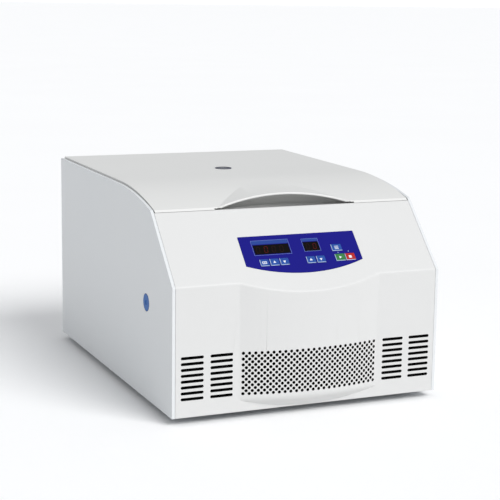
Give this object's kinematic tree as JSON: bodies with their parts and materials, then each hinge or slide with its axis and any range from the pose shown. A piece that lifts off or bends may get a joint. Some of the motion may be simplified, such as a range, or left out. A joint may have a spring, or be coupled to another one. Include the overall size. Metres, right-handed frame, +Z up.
{
  "type": "laboratory centrifuge",
  "caption": "Benchtop laboratory centrifuge with a hinged, locking lid over a swing-out rotor in a steel bowl, sloping keypad console and vented front.",
  "frame": {"origin": "middle of the footprint, on the surface the feet stand on", "axes": "+X to the right seen from the front, +Y from the keypad towards the rear panel, +Z up"},
  "size_m": [0.5, 0.6786, 0.3785],
  "materials": {
    "case_enamel": "semi-gloss warm white powder coat",
    "front_moulding": "satin white moulding",
    "zinc_sheet": "zinc-plated sheet",
    "stainless_steel": "brushed stainless",
    "black_rubber": "matt",
    "screw_steel": "bright zinc",
    "black_mesh": "fine black foam",
    "keypad_film": "printed royal blue film",
    "circuit_green": "solder resist",
    "display_glass": "dark smoked window",
    "black_plastic": "fine-textured",
    "key_blue": "domed film",
    "key_green": "domed film",
    "key_red": "domed film",
    "cast_iron_ring": "black oxide",
    "motor_enamel": "grey enamel",
    "ground_steel": "ground and polished",
    "rotor_aluminium": "machined, clear anodised",
    "bucket_steel": "drawn stainless",
    "lid_enamel": "satin white moulding",
    "sight_glass": "polished",
    "spring_steel": "bright wire",
    "coil_wrap": "amber tape over copper",
    "plug_blue": "moulded",
    "rocker_red": "moulded"
  },
  "bodies": {
    "casing": {"base_plate": "zinc_sheet", "left_side_panel": "case_enamel", "right_side_panel": "case_enamel", "rear_panel": "case_enamel", "front_panel": "front_moulding", "feet": "black_rubber", "case_screws": "screw_steel", "vent_filters": "black_mesh", "keypad_overlay": "keypad_film", "keypad_circuit": "circuit_green", "rpm_window": "display_glass", "time_window": "display_glass", "display_modules": "black_plastic", "control_board": "circuit_green", "top_deck": "case_enamel", "chamber_bowl": "stainless_steel", "chamber_seal": "black_rubber", "guard_ring": "cast_iron_ring", "motor_plate": "zinc_sheet", "motor_dampers": "black_rubber", "motor_body": "motor_enamel", "shaft_boot": "black_rubber", "imbalance_switch": "black_plastic", "motor_drive": "rotor_aluminium", "hinge_brackets": "zinc_sheet", "hinge_pins": "ground_steel", "hinge_springs": "spring_steel", "latch_housing": "zinc_sheet", "solenoid": "coil_wrap", "latch_spring": "spring_steel", "fan_frame": "black_plastic", "fan_guard": "screw_steel", "power_inlet": "black_plastic", "switch_frame": "black_plastic"},
    "lid": {"lid_shell": "lid_enamel", "lid_liner": "stainless_steel", "lid_screws": "screw_steel", "sight_glass": "sight_glass", "sight_bezel": "black_plastic", "lid_striker": "zinc_sheet", "hinge_arms": "zinc_sheet"},
    "rotor": {"motor_shaft": "ground_steel", "rotor_yoke": "rotor_aluminium", "rotor_nut": "ground_steel"},
    "bucket_1": {"bucket_1": "bucket_steel"},
    "bucket_2": {"bucket_2": "bucket_steel"},
    "bucket_3": {"bucket_3": "bucket_steel"},
    "bucket_4": {"bucket_4": "bucket_steel"},
    "lock": {"lock_bolt": "ground_steel"},
    "plug": {"release_plug": "plug_blue"},
    "fan": {"fan_blades": "black_plastic"},
    "rocker": {"switch_rocker": "rocker_red"},
    "key_set": {"key_set": "key_blue"},
    "key_speed_up": {"key_speed_up": "key_blue"},
    "key_speed_down": {"key_speed_down": "key_blue"},
    "key_time_up": {"key_time_up": "key_blue"},
    "key_time_down": {"key_time_down": "key_blue"},
    "key_menu": {"key_menu": "key_blue"},
    "key_start": {"key_start": "key_green"},
    "key_stop": {"key_stop": "key_red"}
  },
  "joints": [
    {"name": "lid_hinge", "type": "hinge", "parent": "casing", "child": "lid", "pos_m": [0, 0.32165, 0.3616], "axis": [-1, 0, 0], "range_deg": [0, 75]},
    {"name": "rotor_spin", "type": "hinge", "parent": "casing", "child": "rotor", "pos_m": [0, 0.07465, 0.268], "axis": [0, 0, 1], "continuous": true},
    {"name": "bucket_swing_1", "type": "hinge", "parent": "rotor", "child": "bucket_1", "pos_m": [0.092, 0.07465, 0.268], "axis": [0, -1, 0], "range_deg": [0, 90]},
    {"name": "bucket_swing_2", "type": "hinge", "parent": "rotor", "child": "bucket_2", "pos_m": [0, 0.16665, 0.268], "axis": [1, 0, 0], "range_deg": [0, 90]},
    {"name": "bucket_swing_3", "type": "hinge", "parent": "rotor", "child": "bucket_3", "pos_m": [-0.092, 0.07465, 0.268], "axis": [0, 1, 0], "range_deg": [0, 90]},
    {"name": "bucket_swing_4", "type": "hinge", "parent": "rotor", "child": "bucket_4", "pos_m": [0, -0.01735, 0.268], "axis": [-1, 0, 0], "range_deg": [0, 90]},
    {"name": "key_set_press", "type": "slide", "parent": "casing", "child": "key_set", "axis": [0, 0.7166, -0.6974], "range_m": [0, 0.0005], "stiffness_N_per_m": 600, "springref_m": -0.001},
    {"name": "key_speed_up_press", "type": "slide", "parent": "casing", "child": "key_speed_up", "axis": [0, 0.7166, -0.6974], "range_m": [0, 0.0005], "stiffness_N_per_m": 600, "springref_m": -0.001},
    {"name": "key_speed_down_press", "type": "slide", "parent": "casing", "child": "key_speed_down", "axis": [0, 0.7166, -0.6974], "range_m": [0, 0.0005], "stiffness_N_per_m": 600, "springref_m": -0.001},
    {"name": "key_time_up_press", "type": "slide", "parent": "casing", "child": "key_time_up", "axis": [0, 0.7166, -0.6974], "range_m": [0, 0.0005], "stiffness_N_per_m": 600, "springref_m": -0.001},
    {"name": "key_time_down_press", "type": "slide", "parent": "casing", "child": "key_time_down", "axis": [0, 0.7166, -0.6974], "range_m": [0, 0.0005], "stiffness_N_per_m": 600, "springref_m": -0.001},
    {"name": "key_menu_press", "type": "slide", "parent": "casing", "child": "key_menu", "axis": [0, 0.7166, -0.6974], "range_m": [0, 0.0005], "stiffness_N_per_m": 600, "springref_m": -0.001},
    {"name": "key_start_press", "type": "slide", "parent": "casing", "child": "key_start", "axis": [0, 0.7166, -0.6974], "range_m": [0, 0.0005], "stiffness_N_per_m": 600, "springref_m": -0.001},
    {"name": "key_stop_press", "type": "slide", "parent": "casing", "child": "key_stop", "axis": [0, 0.7166, -0.6974], "range_m": [0, 0.0005], "stiffness_N_per_m": 600, "springref_m": -0.001},
    {"name": "lock_slide", "type": "slide", "parent": "casing", "child": "lock", "axis": [1, 0, 0], "range_m": [0, 0.012], "stiffness_N_per_m": 150, "springref_m": -0.01, "deforming": ["latch_spring"]},
    {"name": "plug_pull", "type": "slide", "parent": "casing", "child": "plug", "axis": [-1, 0, 0], "range_m": [0, 0.02]},
    {"name": "fan_spin", "type": "hinge", "parent": "casing", "child": "fan", "pos_m": [-0.12, 0.31865, 0.163], "axis": [0, 1, 0], "continuous": true},
    {"name": "rocker_tilt", "type": "hinge", "parent": "casing", "child": "rocker", "pos_m": [0.205, 0.33165, 0.083], "axis": [-1, 0, 0], "range_deg": [0, 18]}
  ]
}
